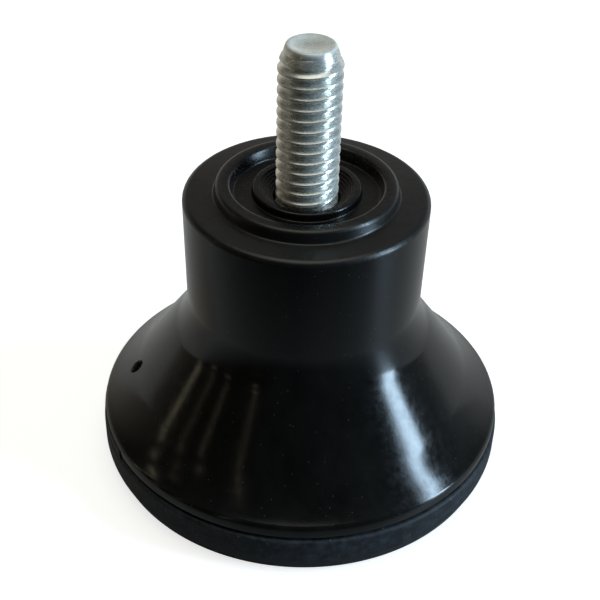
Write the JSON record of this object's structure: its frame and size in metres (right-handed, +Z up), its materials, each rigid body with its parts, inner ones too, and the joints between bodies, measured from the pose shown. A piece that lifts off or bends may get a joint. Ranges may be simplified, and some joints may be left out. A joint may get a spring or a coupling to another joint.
{
  "type": "furniture leveling foot",
  "caption": "Bell-shaped moulded foot with an upright threaded stud and a rubber tread; it screws into furniture and turns to level it.",
  "frame": {"origin": "centre of the face that rests on the floor", "axes": "+Z up along the stud, away from the floor; X and Y are level and interchangeable apart from the stud's hexagon head, whose corners lie along X"},
  "size_m": [0.055, 0.055, 0.0595],
  "materials": {
    "bell_plastic": "moulded black plastic, satin to glossy",
    "stud_zinc": "zinc plated, rolled thread",
    "disc_steel": "stamped steel",
    "plate_plastic": "moulded black plastic",
    "tread_rubber": "matt rubber"
  },
  "bodies": {
    "root": {"bell_housing": "bell_plastic", "threaded_stud": "stud_zinc", "thrust_disc": "disc_steel", "base_plate": "plate_plastic", "rubber_tread": "tread_rubber"}
  },
  "joints": []
}
